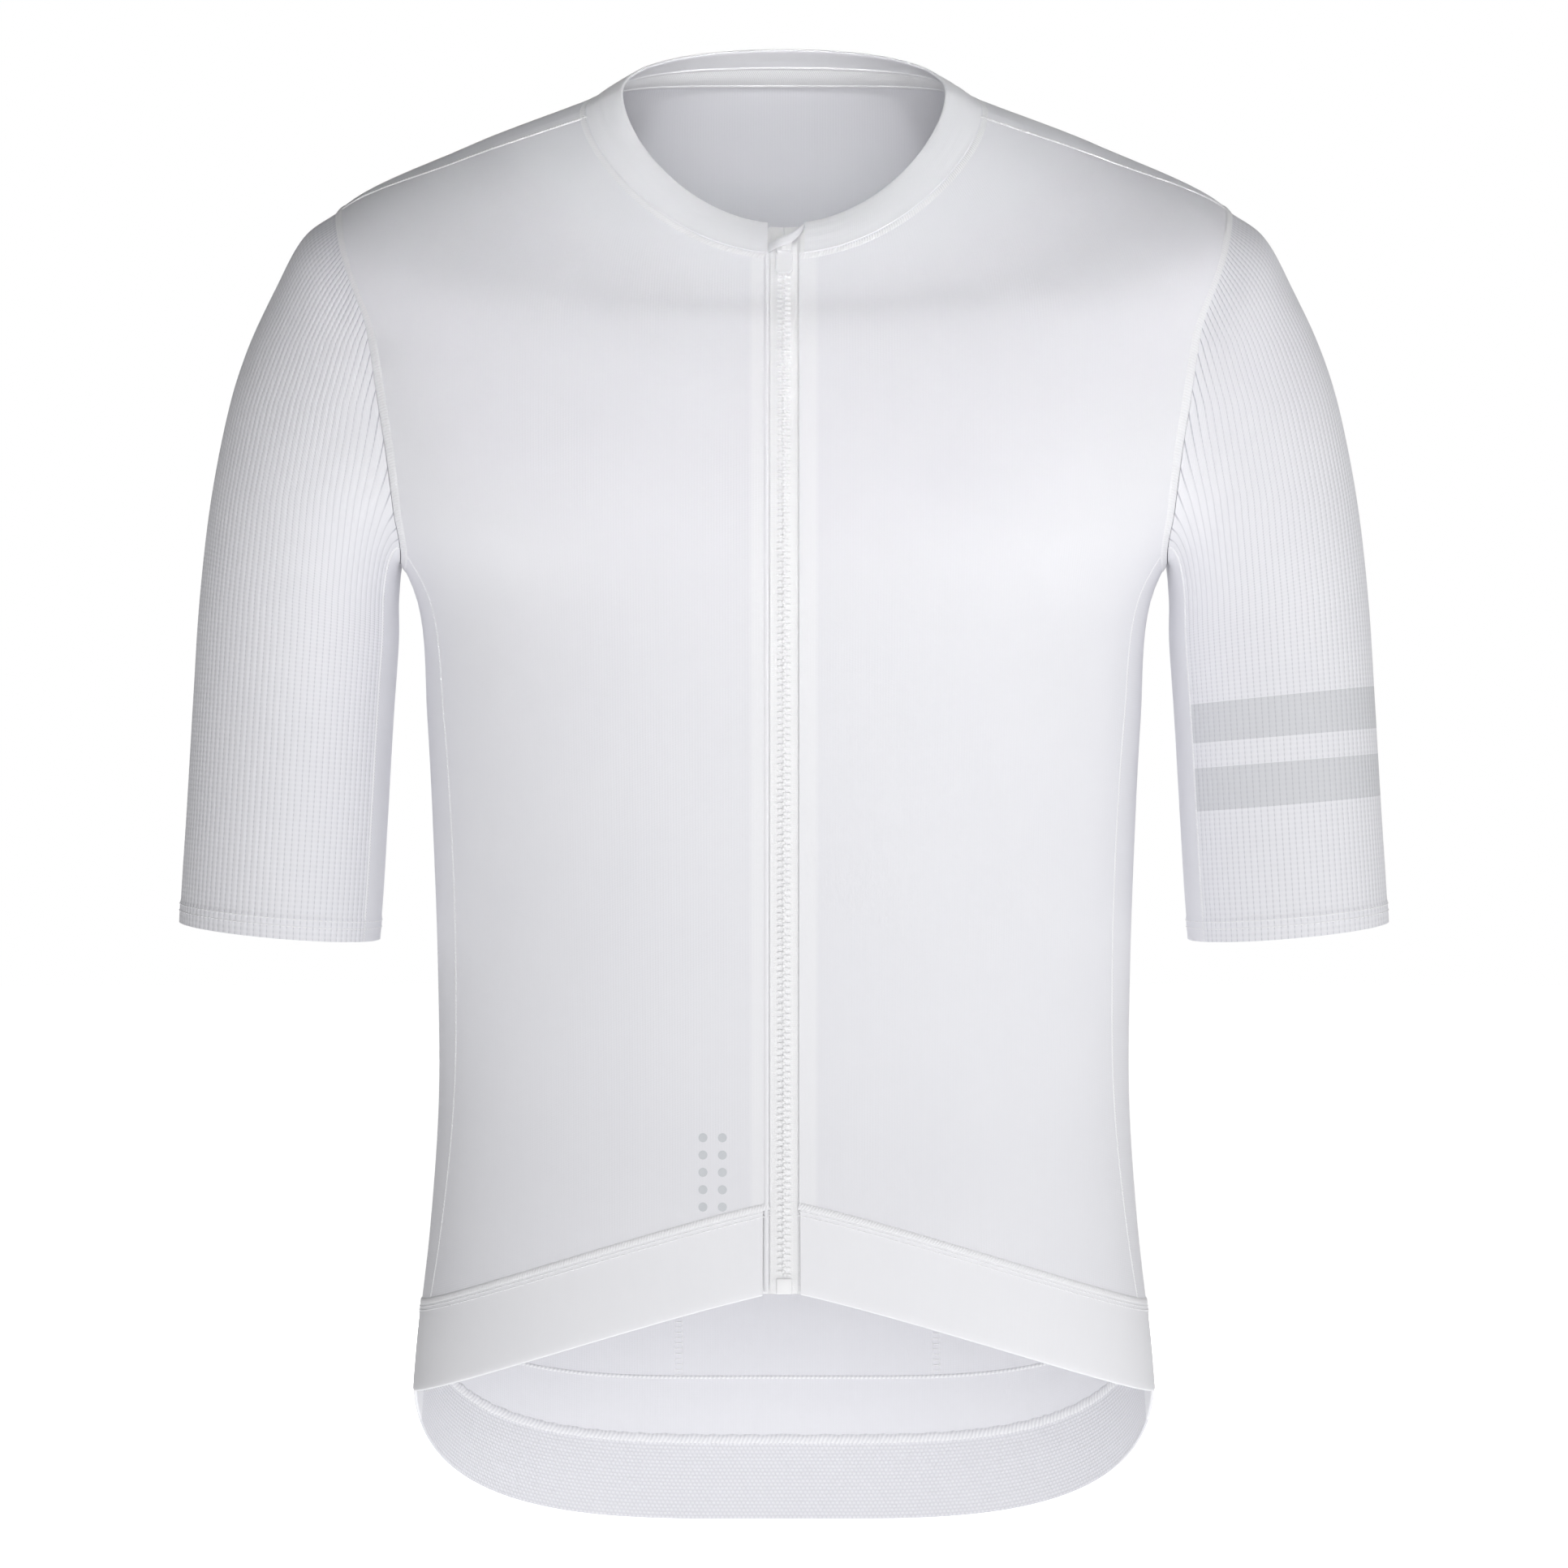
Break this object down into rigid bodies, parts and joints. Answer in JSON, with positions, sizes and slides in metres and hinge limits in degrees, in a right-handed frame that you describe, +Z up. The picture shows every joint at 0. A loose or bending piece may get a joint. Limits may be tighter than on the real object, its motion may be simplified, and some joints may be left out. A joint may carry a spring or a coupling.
{
  "type": "cycling jersey",
  "caption": "Short-sleeved cycling jersey in its worn, hollow form, with ribbed sleeves, a low collar band, a full front zip, a dropped tail and rear pockets.",
  "frame": {"origin": "midway between the wearer's shoulders, level with the middle of the shoulder slopes, where the shoulders carry the jersey", "axes": "+Z up, -Y out of the front, +X towards the wearer's left side"},
  "size_m": [0.5752, 0.2379, 0.7178],
  "materials": {
    "body_cloth": "matt fine knit, white with a cool grey cast",
    "sleeve_cloth": "matt ribbed waffle knit, white with a cool grey cast",
    "band_cloth": "matt smooth folded knit, white",
    "gripper_elastic": "matt mesh elastic, white",
    "zip_tape": "matt woven tape, white",
    "zip_plastic": "satin moulded plastic, white"
  },
  "bodies": {
    "garment": {"front_left": "body_cloth", "front_right": "body_cloth", "side_left": "body_cloth", "side_right": "body_cloth", "back": "body_cloth", "sleeve_under_left": "body_cloth", "sleeve_under_right": "body_cloth", "pocket_left": "body_cloth", "pocket_middle": "body_cloth", "pocket_right": "body_cloth", "sleeve_left": "sleeve_cloth", "sleeve_right": "sleeve_cloth", "hem_front_left": "band_cloth", "hem_front_right": "band_cloth", "collar": "band_cloth", "zip_garage": "band_cloth", "hem_back": "gripper_elastic", "zip_tape_left": "zip_tape", "zip_tape_right": "zip_tape", "zip_teeth_left": "zip_plastic", "zip_teeth_right": "zip_plastic", "zip_retainer": "zip_plastic", "zip_slider": "zip_plastic"},
    "pull": {"zip_pull": "zip_plastic"}
  },
  "joints": [
    {"name": "pull_hinge", "type": "hinge", "parent": "garment", "child": "pull", "pos_m": [0, -0.07312, -0.0517], "axis": [-1, 0, 0], "range_deg": [0, 90]}
  ]
}
